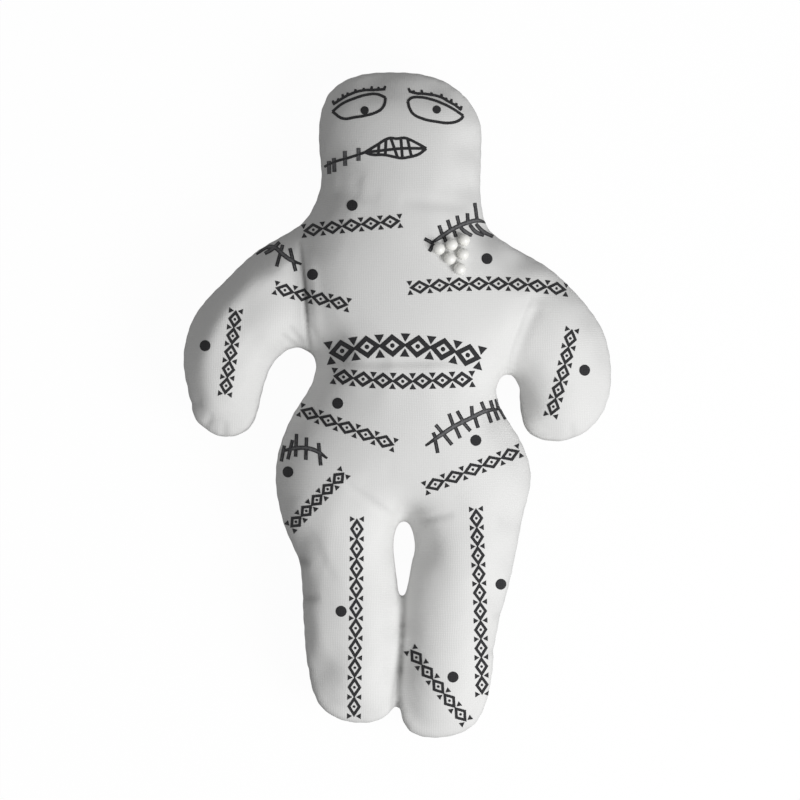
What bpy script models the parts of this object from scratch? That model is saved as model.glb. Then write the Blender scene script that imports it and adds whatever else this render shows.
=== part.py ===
"""Voodoo doll: a stuffed cloth figure lying on its back, with a printed face, scars and six ball-head pins.

The cover is two cloth panels, front and back, sewn round one seam line and filled with fibre.
Metres, +Z up. The doll lies on Z = 0, face up, head towards +Y. The origin is at the middle of its base.
"""

import math

import bmesh
import bpy
import numpy as np
from mathutils import Vector
from mathutils.geometry import delaunay_2d_cdt, interpolate_bezier

COLLECTION = "voodoo_doll"
CUTTERS = "voodoo_doll_cutters"
FRONT, BACK = 1, -1

# Lengths and widths of the sewn outline
HEAD_HEIGHT = 0.0700
HEAD_WIDTH = 0.0853
TORSO_LENGTH = 0.1637
WAIST_WIDTH = 0.0947
HIP_WIDTH = 0.1347
LEG_LENGTH = 0.1163
KNEE_WIDTH = 0.1026
FEET_WIDTH = 0.0889
LEFT_ARM_REACH = 0.1139
RIGHT_ARM_REACH = 0.1110
LEFT_ARM_LENGTH = 0.0476
RIGHT_ARM_LENGTH = 0.0361

# How the stuffing fills the cover
SEAM_HEIGHT = 0.0330
ROUNDNESS = 0.88
FLATTENING_SPAN = 0.045
ARM_DROOP = 0.004
LEG_DROOP = 0.009
HEAD_DROOP = 0.004
LEFT_FOLD_DEPTH = 0.0080
LEFT_FOLD_WIDTH = 0.0095
RIGHT_FOLD_DEPTH = 0.0045
RIGHT_FOLD_WIDTH = 0.0070
FOLD_SHARE = 0.4

# Cloth, ink and the clearance that meeting pieces keep
CLOTH_THICKNESS = 0.0008
INK_THICKNESS = 0.00035
CLEARANCE = 0.0003

# Pins
PIN_HEAD_RADIUS = 0.00325
PIN_SHAFT_RADIUS = 0.00035
PIN_LENGTH = 0.036
PIN_SOCKET_DEPTH = 0.0030
PIN_POINT_LENGTH = 0.0030

# Printed marks
DOT_RADIUS = 0.0029
PUPIL_RADIUS = 0.0022
EYE_LINE_WIDTH = 0.0010
LASH_LENGTH = 0.0032
MOUTH_LINE_WIDTH = 0.0009
SCAR_WIDTH = 0.0020
STITCH_WIDTH = 0.0011
SMALL_BAND_HEIGHT = 0.0072
TITLE_BAND_HEIGHT = 0.0120
SECOND_BAND_HEIGHT = 0.0084
BAND_OVERLAP = 0.06
LASHES = 9
LASH_WIDTH = 0.0008
LASH_SPREAD = 0.9

# Spacing of the points on the cloth
OUTLINE_STEP = 0.0110
GRID_STEP = 0.0132
RIM_RING_INSET = 0.0030
DISC_CORNERS = 9
PIN_HEAD_MERIDIANS = 8
PIN_HEAD_RINGS = 6
PIN_SHAFT_SIDES = 8

# How outlines are filled with triangles: only inside, and points this close are one
FILL_INSIDE = 1
SAME_POINT = 1e-6

# Heights that lie clear below and clear above the whole doll, and the slope of a face that looks down
BELOW = -0.01
FACING_DOWN = -0.9
ABOVE = SEAM_HEIGHT * 4

# Rows and columns of the photograph, in its pixels, that the sizes above belong to
AXIS_COLUMN = 400.0
TOP_ROW = 72.5
NECK_ROW = 205.5
WAIST_ROW = 385.0
HIP_ROW = 475.0
CROTCH_ROW = 516.5
KNEE_ROW = 620.0
FEET_ROW = 700.0
SOLE_ROW = 737.5
HEAD_COLUMNS = 162.0
WAIST_COLUMNS = 180.0
HIP_COLUMNS = 256.0
KNEE_COLUMNS = 195.0
FEET_COLUMNS = 169.0
LEFT_ARMPIT = (297.0, 347.0)
RIGHT_ARMPIT = (508.0, 373.0)
LEFT_ARM_COLUMN = 183.5
RIGHT_ARM_COLUMN = 611.0
LEFT_HAND_ROW = 437.5
RIGHT_HAND_ROW = 441.5

# The seam line in photograph pixels, from the crown down the left side and up the right
CROWN_LEFT = [(393, 72.5), (352, 77.5), (329, 93), (320, 118), (319.5, 150), (321.5, 182), (315.5, 203)]
LEFT_ARM_LINE = [(304, 222), (288, 233), (258, 250.5), (226, 280), (194, 317), (183.5, 358), (188, 390),
                 (196, 420), (224, 437.5), (250, 428), (261, 396), (273, 363), (297, 347)]
LEFT_LEG_LINE = [(315, 358), (313, 381), (294, 413), (279, 450), (276, 485), (286, 530), (299.5, 562),
                 (303, 610), (308.5, 670), (322, 708), (358, 723), (389, 714), (398, 690), (400.4, 640),
                 (401, 607), (396.5, 570), (394.8, 532), (404, 516.5)]
RIGHT_LEG_LINE = [(413.2, 532), (410, 570), (403, 607), (401.9, 640), (399.5, 690), (400.5, 713), (409, 731),
                  (440, 737.5), (474, 725), (489, 690), (496, 636), (510, 580), (523, 515), (531, 474),
                  (519, 438), (499, 405), (497, 384)]
RIGHT_ARM_LINE = [(508, 373), (518.5, 384), (520, 405), (528, 432), (555, 441.5), (589, 429.5), (608, 400),
                  (611, 370), (603, 331), (581, 299), (547, 267), (508, 244.5), (487.5, 228)]
CROWN_RIGHT = [(481, 203), (481, 150), (480, 122), (468, 100), (440, 79.5)]

# Folds where the arms are set against the chest
LEFT_ARM_FOLD = [(297, 243), (300, 270), (303, 304), (309, 340)]
RIGHT_ARM_FOLD = [(510, 366), (521, 335), (537, 297)]
FOLDS = [(LEFT_ARM_FOLD, LEFT_FOLD_DEPTH, LEFT_FOLD_WIDTH),
         (RIGHT_ARM_FOLD, RIGHT_FOLD_DEPTH, RIGHT_FOLD_WIDTH)]

# The printed face
EYES = {
    "left": [(332.5, 111.7), (342, 104), (355, 98.3), (366, 95), (376.5, 94.2), (385.5, 97.6),
             (384.8, 103.4), (376.5, 112.3), (363.8, 116), (354.8, 117.4), (343.4, 118.7)],
    "right": [(407.8, 101.5), (411, 98.3), (420, 97.4), (428.8, 98.9), (440.3, 102.7), (453, 109),
              (463.3, 116), (460.7, 119.3), (451.8, 122.8), (435.2, 121.6), (422.4, 118.7), (413.5, 114.2)],
}
PUPILS = {"left": (364.7, 108.0), "right": (436.7, 110.5)}
LASH_LINES = {
    "left": [(333, 103.6), (340.8, 98), (348.5, 93.6), (362.5, 89.4), (375.3, 88.6), (385.5, 88.8)],
    "right": [(409, 91), (414.8, 91.6), (427.6, 92.6), (441.6, 95.8), (455, 103.2), (463, 109)],
}
# Both lips and the line between them, then the teeth
MOUTH = [[(364.5, 152.8), (376.5, 145.5), (389.3, 138.6), (404.6, 138.1), (418.6, 144.2), (427, 148.8)],
         [(364.5, 152.2), (384.2, 155.5), (400.8, 158.2), (415, 156), (427, 148.4)],
         [(366, 152.4), (388, 149.9), (402, 148.6), (425, 148.6)]]
TEETH = [[(381, 142), (377, 155.5)], [(388, 138.6), (383.5, 155.5)], [(396, 138.6), (391, 157)],
         [(403, 138), (398.5, 158)], [(411, 140), (406, 157.6)]]

# Scars: the healed line, then the stitches across it
SCARS = {
    "scar_cheek": [[(359.5, 154.5), (349.7, 157.6), (334.4, 162), (325, 166)],
                   [(358, 148), (358.6, 161)], [(345, 151), (346, 166)], [(334, 156), (335, 171)]],
    "scar_neck": [[(431.2, 243), (440.9, 237), (451.8, 229.7), (460.3, 225.4), (468.7, 222.4), (483, 220.6)],
                  [(439, 225.4), (444.5, 240)], [(447.5, 219), (452.5, 235)], [(456.9, 214.7), (461, 232)],
                  [(467.3, 211.3), (472, 234)], [(474.6, 205), (482, 233)], [(426, 240), (433.6, 246)]],
    "scar_shoulder": [[(257.4, 254.4), (269.8, 246.8), (282, 253.7), (290.4, 259.8), (300, 264.4)],
                      [(279.7, 242.2), (264.8, 253.7)], [(283.8, 244.9), (276.7, 266.7)],
                      [(290, 248.3), (295.8, 271.3)]],
    "scar_hip_left": [[(281.9, 451.2), (295.7, 448.2), (306.9, 448.2), (317.1, 451.2), (327.3, 458.4)],
                      [(296.7, 435.9), (295.2, 457.8)], [(306.7, 437.4), (305.9, 459.9)],
                      [(318.7, 443.1), (320.9, 465.5)], [(286.5, 443.6), (284.4, 461.4)]],
    "scar_hip_right": [[(425.5, 445.8), (440.8, 435.1), (455.1, 425.9), (471.4, 417.8), (485.7, 411.1),
                        (499, 409.1)],
                       [(433.2, 430.6), (438.8, 453)], [(436.7, 424.9), (452, 444.8)],
                       [(449, 413.7), (460.2, 438.2)], [(457.1, 409.1), (469.4, 431)],
                       [(471.4, 404), (478.1, 428)], [(481.1, 400.9), (491.3, 422.9)],
                       [(490.3, 398.4), (498.5, 420.3)]],
}

# The dots that mark where a pin goes
DOTS = [(352.2, 205.4), (486.9, 258.8), (312.6, 274.5), (205.2, 345.7), (584.6, 370.2), (337.8, 403.3),
        (475.8, 440.4), (288.1, 473.5), (341.2, 611.3), (500.8, 584.2), (453, 677)]

# Bands of plain ornament: centre line, height and number of marks
BANDS = {
    "band_neck": ([(304, 231), (352, 225.5), (400, 221)], SMALL_BAND_HEIGHT, 5),
    "band_chest_left": ([(276, 288), (312, 297), (348, 305)], SMALL_BAND_HEIGHT, 4),
    "band_chest_right": ([(410, 288), (450, 284.5), (490, 283.5), (530, 285), (566, 290)],
                         SMALL_BAND_HEIGHT, 8),
    "band_title": ([(330, 353), (366, 347), (404, 345), (442, 349), (480, 358)], TITLE_BAND_HEIGHT, 6),
    "band_second": ([(334, 376), (370, 380), (405, 381.5), (440, 380.5), (477, 378)], SECOND_BAND_HEIGHT, 7),
    "band_belly_left": ([(301, 410), (348, 428), (394, 445)], SMALL_BAND_HEIGHT, 5),
    "band_belly_right": ([(426, 488), (474, 469), (519, 451)], SMALL_BAND_HEIGHT, 5),
    "band_thigh_left": ([(291, 527), (318, 499), (344, 473)], SMALL_BAND_HEIGHT, 5),
    "band_arm_left": ([(225, 394), (231, 352), (236, 311)], SMALL_BAND_HEIGHT, 5),
    "band_arm_right": ([(572, 330), (563, 373), (551, 415)], SMALL_BAND_HEIGHT, 5),
    "band_leg_left": ([(354, 716), (356, 618), (357, 519)], SMALL_BAND_HEIGHT, 10),
    "band_leg_right": ([(476, 509), (480, 602), (482, 694)], SMALL_BAND_HEIGHT, 10),
    "band_foot_right": ([(411, 650), (438, 686), (466, 721)], SMALL_BAND_HEIGHT, 5),
}

# Pin heads, seen from above
PINS = [(438.5, 250.9), (451.0, 246.7), (463.2, 242.0), (449.2, 260.6), (462.2, 256.0), (459.0, 270.7)]

# sRGB colours, then roughness and metallic
FINISHES = {
    "cotton": ((0.86, 0.86, 0.86), 0.9, 0.0),
    "fibre_fill": ((0.93, 0.93, 0.91), 1.0, 0.0),
    "black_ink": ((0.15, 0.15, 0.16), 0.7, 0.0),
    "grey_ink": ((0.28, 0.28, 0.29), 0.7, 0.0),
    "pearl_plastic": ((0.95, 0.95, 0.93), 0.25, 0.0),
    "pin_steel": ((0.72, 0.73, 0.75), 0.25, 1.0),
}


def clear_scene():
    for old in list(bpy.data.objects):
        bpy.data.objects.remove(old)


def make_collection(name):
    collection = bpy.data.collections.new(name)
    bpy.context.scene.collection.children.link(collection)
    return collection


def to_linear(value):
    return value / 12.92 if value <= 0.04045 else ((value + 0.055) / 1.055) ** 2.4


def make_material(node, finish):
    """A Principled material of the node's own."""
    colour, roughness, metallic = FINISHES[finish]
    material = bpy.data.materials.new(node + "_" + finish)
    material.use_nodes = True
    shader = material.node_tree.nodes["Principled BSDF"]
    shader.inputs["Base Color"].default_value = [to_linear(c) for c in colour] + [1.0]
    shader.inputs["Roughness"].default_value = roughness
    shader.inputs["Metallic"].default_value = metallic
    return material


# From the photograph to the doll
def body_point(spot):
    """A point of the head, torso or legs, in metres from the body's axis and the crotch."""
    column, row = spot
    rows = [TOP_ROW, NECK_ROW, CROTCH_ROW, SOLE_ROW]
    height = np.interp(row, rows, [TORSO_LENGTH + HEAD_HEIGHT, TORSO_LENGTH, 0.0, -LEG_LENGTH])
    width_rows = [NECK_ROW, WAIST_ROW, HIP_ROW, KNEE_ROW, FEET_ROW]
    scales = [HEAD_WIDTH / HEAD_COLUMNS, WAIST_WIDTH / WAIST_COLUMNS, HIP_WIDTH / HIP_COLUMNS,
              KNEE_WIDTH / KNEE_COLUMNS, FEET_WIDTH / FEET_COLUMNS]
    return np.array(((column - AXIS_COLUMN) * np.interp(row, width_rows, scales), height))


def arm_point(spot):
    """A point of the arm on that side of the axis, between the armpit and the arm's reach."""
    column, row = spot
    on_left = column < AXIS_COLUMN
    armpit = LEFT_ARMPIT if on_left else RIGHT_ARMPIT
    root = body_point(armpit)
    far_column = LEFT_ARM_COLUMN if on_left else RIGHT_ARM_COLUMN
    reach = -LEFT_ARM_REACH if on_left else RIGHT_ARM_REACH
    hand_row = LEFT_HAND_ROW if on_left else RIGHT_HAND_ROW
    length = LEFT_ARM_LENGTH if on_left else RIGHT_ARM_LENGTH
    outwards = (column - armpit[0]) / (far_column - armpit[0])
    x = root[0] + outwards * (reach - root[0])
    if outwards < 0:
        x = body_point(spot)[0]
    if row < armpit[1]:
        return np.array((x, body_point(spot)[1]))
    return np.array((x, root[1] - length * (row - armpit[1]) / (hand_row - armpit[1])))


def doll_point(spot):
    """A printed mark's place: on an arm where it lies wider than the hips, else on the body."""
    beyond_hips = abs(spot[0] - AXIS_COLUMN) > HIP_COLUMNS / 2
    on_arm = beyond_hips and spot[1] < LEFT_HAND_ROW
    return arm_point(spot) if on_arm else body_point(spot)


def smooth_line(points, step, closed):
    """A curve through the points, split into pieces of about one step that keep every point."""
    points = [np.asarray(p, float) for p in points]
    count = len(points)

    def tangent(i):
        if not closed and i in (0, count - 1):
            return unit(points[min(i + 1, count - 1)] - points[max(i - 1, 0)])
        before = unit(points[i] - points[i - 1])
        after = unit(points[(i + 1) % count] - points[i])
        return unit(before + after)

    line = []
    for i in range(count if closed else count - 1):
        here, there = points[i], points[(i + 1) % count]
        length = np.linalg.norm(there - here)
        pieces = max(1, round(length / step))
        handle_out = here + tangent(i) * length / 3
        handle_in = there - tangent((i + 1) % count) * length / 3
        flat = [Vector((*p, 0)) for p in (here, handle_out, handle_in, there)]
        line += [np.array(p[:2]) for p in interpolate_bezier(*flat, pieces + 1)[:-1]]
    return line if closed else line + [points[-1]]


def unit(vector):
    return vector / np.linalg.norm(vector)


def distance_to_line(points, line):
    """Each point's distance to an open line."""
    best = np.full(len(points), np.inf)
    for a, b in zip(line[:-1], line[1:]):
        along = np.clip((points - a) @ (b - a) / ((b - a) @ (b - a)), 0, 1)
        best = np.minimum(best, np.linalg.norm(points - a - along[:, None] * (b - a), axis=1))
    return best


def is_inside(points, outline):
    """Which points lie inside a closed outline, by counting the edges that a level line crosses."""
    crossings = np.zeros(len(points), int)
    for a, b in zip(outline, np.roll(outline, -1, axis=0)):
        spans = (a[1] > points[:, 1]) != (b[1] > points[:, 1])
        rise = b[1] - a[1] if b[1] != a[1] else 1.0
        crossings += spans & (points[:, 0] < a[0] + (points[:, 1] - a[1]) * (b[0] - a[0]) / rise)
    return crossings % 2 == 1


# The cover's plan and how far it swells
class Plan:
    """The flat cut of a panel as a net of triangles, and the height that the filling gives each point."""

    def __init__(self):
        controls = [body_point(p) for p in CROWN_LEFT] + [arm_point(p) for p in LEFT_ARM_LINE]
        controls += [body_point(p) for p in LEFT_LEG_LINE + RIGHT_LEG_LINE]
        controls += [arm_point(p) for p in RIGHT_ARM_LINE] + [body_point(p) for p in CROWN_RIGHT]
        outline = np.array(smooth_line(controls, OUTLINE_STEP, True))
        self.middle = (outline.min(0) + outline.max(0)) / 2
        inner = [*self.ring_points(outline), *self.fold_points(), *self.grid_points(outline)]
        rim = [(i, (i + 1) % len(outline)) for i in range(len(outline))]
        corners = [Vector(p) for p in [*outline, *inner]]
        net = delaunay_2d_cdt(corners, rim, [], FILL_INSIDE, SAME_POINT)
        self.points = np.array([p[:] for p in net[0]])
        self.faces = [self.upward(face) for face in net[2]]
        self.is_rim = np.arange(len(self.points)) < len(outline)
        self.height = self.swell()
        self.height -= np.minimum(self.fold_depth(), FOLD_SHARE * self.height)

    def ring_points(self, outline):
        """Points close inside every second point of the outline, which round the edge of the cover."""
        closed = np.vstack([outline, outline[:1]])
        ahead, behind = np.roll(outline, -1, axis=0), np.roll(outline, 1, axis=0)
        along = (ahead - behind) / np.linalg.norm(ahead - behind, axis=1)[:, None]
        ring = (outline + RIM_RING_INSET * np.column_stack([-along[:, 1], along[:, 0]]))[::2]
        keep = is_inside(ring, outline) & (distance_to_line(ring, closed) > 0.8 * RIM_RING_INSET)
        return ring[keep]

    def fold_points(self):
        """Points along the bottom of each fold, and halfway up both of its sides."""
        points = []
        for fold, _, width in FOLDS:
            line = smooth_line([body_point(p) for p in fold], OUTLINE_STEP, False)
            for here, ahead in zip(line[:-1], line[1:]):
                along = unit(ahead - here)
                across = np.array((-along[1], along[0])) * width
                points += [here - across, here, here + across]
        return points

    def grid_points(self, outline):
        """Points of a triangular grid that lie well inside the outline and clear of the folds' points."""
        low, high = outline.min(0), outline.max(0)
        row_step = GRID_STEP * math.sqrt(3) / 2
        rows = np.arange(low[1], high[1], row_step)
        columns = np.arange(low[0], high[0], GRID_STEP)
        grid = [(x + (i % 2) * GRID_STEP / 2, y) for i, y in enumerate(rows) for x in columns]
        grid = np.array(grid)
        closed = np.vstack([outline, outline[:1]])
        keep = is_inside(grid, outline) & (distance_to_line(grid, closed) > RIM_RING_INSET + GRID_STEP / 3)
        for fold, _, width in FOLDS:
            line = [body_point(p) for p in fold]
            keep &= distance_to_line(grid, line) > width + GRID_STEP / 3
        return grid[keep]

    def upward(self, face):
        a, b, c = (self.points[i] for i in face)
        turn = (b[0] - a[0]) * (c[1] - a[1]) - (b[1] - a[1]) * (c[0] - a[0])
        return list(face) if turn > 0 else list(reversed(face))

    def swell(self):
        """Heights of cloth held at its rim and pushed up evenly, which wide parts flatten."""
        count = len(self.points)
        stiffness = np.zeros((count, count))
        share = np.zeros(count)
        for face in self.faces:
            corners = self.points[face]
            area = abs(np.cross(corners[1] - corners[0], corners[2] - corners[0])) / 2
            for k in range(3):
                i, j, opposite = face[k], face[(k + 1) % 3], corners[(k + 2) % 3]
                to_i, to_j = self.points[i] - opposite, self.points[j] - opposite
                weight = (to_i @ to_j) / (4 * area)
                stiffness[i, j] -= weight
                stiffness[j, i] -= weight
                stiffness[i, i] += weight
                stiffness[j, j] += weight
                share[i] += area / 3
        free = ~self.is_rim
        system = stiffness + np.diag(share) / FLATTENING_SPAN ** 2
        push = np.zeros(count)
        push[free] = np.linalg.solve(system[np.ix_(free, free)], share[free])
        return ROUNDNESS * np.sqrt(2 * np.maximum(push, 0))

    def fold_depth(self):
        depth = np.zeros(len(self.points))
        for fold, deepest, width in FOLDS:
            line = [body_point(p) for p in fold]
            depth += deepest * np.exp(-(distance_to_line(self.points, line) / width) ** 2)
        return depth

    def seam_at(self, points):
        """Height of the seam line, which sags towards the hands, the feet and the crown."""
        points = np.atleast_2d(points)
        reach = (LEFT_ARM_REACH + RIGHT_ARM_REACH) / 2
        arm = np.clip((np.abs(points[:, 0]) - WAIST_WIDTH / 2) / (reach - WAIST_WIDTH / 2), 0, 1)
        arm *= points[:, 1] > 0
        leg = np.clip(-points[:, 1] / LEG_LENGTH, 0, 1)
        head = np.clip((points[:, 1] - TORSO_LENGTH) / HEAD_HEIGHT, 0, 1)
        sag = ARM_DROOP * arm ** 2 + LEG_DROOP * leg ** 2 + HEAD_DROOP * head ** 2
        return SEAM_HEIGHT - sag

    def surface(self, side):
        """Corners of the front's or the back's outer face. The back lies flat where it meets Z = 0."""
        height = self.seam_at(self.points) + side * (self.height + CLEARANCE / 2)
        flat = self.points - self.middle
        return np.column_stack([flat, np.maximum(height, 0.0)])

    def place(self, spot):
        """A mark of the photograph in the doll's frame."""
        return doll_point(spot) - self.middle


def add_object(name, vertices, faces, collection):
    mesh = bpy.data.meshes.new(name)
    mesh.from_pydata([tuple(v) for v in vertices], [], faces)
    mesh.update()
    made = bpy.data.objects.new(name, mesh)
    collection.objects.link(made)
    return made


def apply_modifiers(thing):
    """Replaces an object's mesh by what its modifiers make of it."""
    graph = bpy.context.evaluated_depsgraph_get()
    shaped = bpy.data.meshes.new_from_object(thing.evaluated_get(graph))
    thing.modifiers.clear()
    thing.data = shaped


def finish(thing, finish_name, smooth=True):
    thing.data.materials.clear()
    thing.data.materials.append(make_material(thing.name, finish_name))
    if smooth:
        thing.data.shade_smooth()


def as_cutter(thing):
    thing.hide_render = True
    thing.display_type = "WIRE"


def cut(thing, cutter, operation):
    boolean = thing.modifiers.new(operation.lower(), "BOOLEAN")
    boolean.object = cutter
    boolean.operation = operation
    boolean.solver = "EXACT"


# Sewn cover and filling
def make_panel(plan, name, side, collection):
    """One cloth panel: the outer face given the cloth's thickness, its rim flat along the seam."""
    faces = plan.faces if side == FRONT else [face[::-1] for face in plan.faces]
    panel = add_object(name, plan.surface(side), faces, collection)
    solidify = panel.modifiers.new("cloth", "SOLIDIFY")
    solidify.thickness = CLOTH_THICKNESS
    solidify.offset = -1
    solidify.use_even_offset = True
    apply_modifiers(panel)
    for vertex in panel.data.vertices:
        here = np.array(vertex.co[:2]) + plan.middle
        seam = plan.seam_at(here)[0] + side * CLEARANCE / 2
        vertex.co.z = max(vertex.co.z, seam) if side == FRONT else min(vertex.co.z, seam)
    finish(panel, "cotton")
    return panel


def make_stuffing(plan, collection):
    """The fibre filling: the space inside the cover, clear of the cloth all round."""
    count = len(plan.points)
    front, back = plan.surface(FRONT), plan.surface(BACK)
    middle = (front + back) / 2
    vertices = [middle[i] if plan.is_rim[i] else front[i] for i in range(count)]
    inner = [i for i in range(count) if not plan.is_rim[i]]
    under = {i: count + k for k, i in enumerate(inner)}
    vertices += [back[i] for i in inner]
    faces = plan.faces + [[under.get(i, i) for i in face[::-1]] for face in plan.faces]
    stuffing = add_object("stuffing", vertices, faces, collection)
    net = bmesh.new()
    net.from_mesh(stuffing.data)
    net.normal_update()
    depth = CLOTH_THICKNESS + CLEARANCE
    inset = {vertex: vertex.normal * depth * vertex.calc_shell_factor() for vertex in net.verts}
    for vertex, step in inset.items():
        vertex.co -= step
    net.to_mesh(stuffing.data)
    net.free()
    finish(stuffing, "fibre_fill")
    return stuffing


# Print
def make_ink_skin(plan, collection):
    """The thin layer just outside the front panel that every printed mark is cut from."""
    skin = add_object("ink_skin", plan.surface(FRONT), plan.faces, collection)
    lift = skin.modifiers.new("lift", "DISPLACE")
    lift.mid_level = 0
    lift.strength = CLEARANCE
    solidify = skin.modifiers.new("ink", "SOLIDIFY")
    solidify.thickness = INK_THICKNESS
    solidify.offset = 1
    apply_modifiers(skin)
    as_cutter(skin)
    return skin


def stroke(line, width, closed=False):
    """A line's four-sided pieces, one for each of its straight stretches."""
    line = [np.asarray(p, float) for p in line]
    count = len(line)
    sides = []
    for i, here in enumerate(line):
        ahead = line[(i + 1) % count] if closed or i < count - 1 else here
        behind = line[i - 1] if closed or i > 0 else here
        along = unit(ahead - behind)
        across = np.array((-along[1], along[0])) * width / 2
        sides.append((here - across, here + across))
    stretches = range(count if closed else count - 1)
    return [[*sides[i], *sides[(i + 1) % count][::-1]] for i in stretches]


def disc(centre, radius, corners=DISC_CORNERS):
    turns = [2 * math.pi * k / corners for k in range(corners)]
    return [[centre + radius * np.array((math.cos(t), math.sin(t))) for t in turns]]


def print_mark(name, shapes, skin, finish_name, collection):
    """One printed mark: its flat shapes made one, raised through the skin and cut to it."""
    corners, outlines = [], []
    for shape in shapes:
        area = sum(a[0] * b[1] - a[1] * b[0] for a, b in zip(shape, shape[1:] + shape[:1]))
        outlines.append(range(len(corners), len(corners) + len(shape)))
        corners += [Vector(p) for p in (shape if area > 0 else shape[::-1])]
    net = delaunay_2d_cdt(corners, [], [list(o) for o in outlines], FILL_INSIDE, SAME_POINT)
    inked = [face for face, sources in zip(net[2], net[5]) if sources]
    mark = add_object(name, [(*p, BELOW) for p in net[0]], inked, collection)
    solid = bmesh.new()
    solid.from_mesh(mark.data)
    bmesh.ops.delete(solid, geom=[v for v in solid.verts if not v.link_faces], context="VERTS")
    bmesh.ops.recalc_face_normals(solid, faces=solid.faces)
    raised = bmesh.ops.extrude_face_region(solid, geom=solid.faces[:], use_keep_orig=True)
    tops = [v for v in raised["geom"] if isinstance(v, bmesh.types.BMVert)]
    bmesh.ops.translate(solid, verts=tops, vec=(0, 0, ABOVE - BELOW))
    bmesh.ops.recalc_face_normals(solid, faces=solid.faces)
    solid.to_mesh(mark.data)
    solid.free()
    cut(mark, skin, "INTERSECT")
    apply_modifiers(mark)
    finish(mark, finish_name, smooth=False)
    return mark


def string_of_diamonds(line, height, count):
    """Diamonds set tip to tip along a line, with a thread of ink through them."""
    points = np.array(line)
    steps = np.linalg.norm(np.diff(points, axis=0), axis=1)
    travelled = np.concatenate([[0], np.cumsum(steps)])
    pitch = travelled[-1] / count

    def at(distance):
        return np.array([np.interp(distance, travelled, points[:, k]) for k in (0, 1)])

    shapes = []
    for k in range(count):
        start, centre, end = at(k * pitch), at((k + 0.5) * pitch), at((k + 1) * pitch)
        along = unit(end - start)
        across = np.array((-along[1], along[0]))
        overlap = along * height * BAND_OVERLAP
        half = across * height / 2
        shapes.append([start - overlap, centre - half, end + overlap, centre + half])
    return shapes


def make_prints(plan, skin, collection):
    def placed(line):
        return [plan.place(p) for p in line]

    for side, outline in EYES.items():
        lid = smooth_line(placed(outline), HEAD_WIDTH, True)
        print_mark("eye_" + side, stroke(lid, EYE_LINE_WIDTH, True), skin, "black_ink", collection)
        pupil = disc(plan.place(PUPILS[side]), PUPIL_RADIUS)
        print_mark("pupil_" + side, pupil, skin, "black_ink", collection)
        brow = placed(LASH_LINES[side])
        shapes = stroke(brow, EYE_LINE_WIDTH)
        line = np.array(brow)
        for share in np.linspace(0.04, 0.96, LASHES):
            place = share * (len(line) - 1)
            root = np.array([np.interp(place, range(len(line)), line[:, k]) for k in (0, 1)])
            lean = (share - 0.5) * LASH_SPREAD
            tip = root + LASH_LENGTH * np.array((math.sin(lean), math.cos(lean)))
            shapes += stroke([root, tip], LASH_WIDTH)
        print_mark("lashes_" + side, shapes, skin, "black_ink", collection)

    shapes = []
    for line in MOUTH + TEETH:
        shapes += stroke(placed(line), MOUTH_LINE_WIDTH)
    print_mark("mouth", shapes, skin, "black_ink", collection)

    for name, lines in SCARS.items():
        shapes = stroke(placed(lines[0]), SCAR_WIDTH)
        for stitch in lines[1:]:
            shapes += stroke(placed(stitch), STITCH_WIDTH)
        print_mark(name, shapes, skin, "grey_ink", collection)

    for number, spot in enumerate(DOTS, 1):
        print_mark("dot_%d" % number, disc(plan.place(spot), DOT_RADIUS), skin, "black_ink", collection)

    for name, (line, height, count) in BANDS.items():
        print_mark(name, string_of_diamonds(placed(line), height, count), skin, "black_ink", collection)


# Pins
def make_pin_cutter(radius, depth, name, collection):
    bpy.ops.mesh.primitive_cylinder_add(vertices=PIN_SHAFT_SIDES, radius=radius, depth=depth)
    cutter = bpy.context.object
    cutter.name = name
    move_to_collection(cutter, collection)
    as_cutter(cutter)
    return cutter


def move_to_collection(thing, collection):
    for old in list(thing.users_collection):
        old.objects.unlink(thing)
    collection.objects.link(thing)


def make_pins(plan, front, stuffing, collection, cutters):
    """Six pins pushed straight in up to their heads, through holes in the cloth and the filling."""
    bore_radius = PIN_SHAFT_RADIUS + CLEARANCE
    graph = bpy.context.evaluated_depsgraph_get()
    cloth = front.evaluated_get(graph)
    drop = Vector((0, 0, -1))
    seats = []
    for spot in PINS:
        x, y = plan.place(spot)
        _, place, normal, _ = cloth.ray_cast(Vector((x, y, ABOVE)), drop)
        seats.append(Vector((x, y, place.z + (PIN_HEAD_RADIUS + CLEARANCE) / normal.z)))

    for number, seat in enumerate(seats, 1):
        socket_top = seat.z - PIN_HEAD_RADIUS + PIN_SOCKET_DEPTH
        shaft_top = socket_top - CLEARANCE
        bpy.ops.mesh.primitive_uv_sphere_add(segments=PIN_HEAD_MERIDIANS, ring_count=PIN_HEAD_RINGS,
                                             radius=PIN_HEAD_RADIUS, location=seat)
        head = bpy.context.object
        head.name = "pin_head_%d" % number
        move_to_collection(head, collection)
        bore_length = PIN_LENGTH + PIN_SOCKET_DEPTH + 2 * CLEARANCE
        bore = make_pin_cutter(bore_radius, bore_length, "pin_bore_%d" % number, cutters)
        bore.location = (seat.x, seat.y, socket_top - bore_length / 2)
        for thing in (head, front, stuffing):
            cut(thing, bore, "DIFFERENCE")
        bpy.ops.mesh.primitive_cylinder_add(vertices=PIN_SHAFT_SIDES, radius=PIN_SHAFT_RADIUS,
                                            depth=PIN_LENGTH)
        shaft = bpy.context.object
        shaft.name = "pin_shaft_%d" % number
        move_to_collection(shaft, collection)
        shaft.location = (seat.x, seat.y, shaft_top - PIN_LENGTH / 2)
        sharpen(shaft)
        finish(head, "pearl_plastic")
        finish(shaft, "pin_steel")


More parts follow.
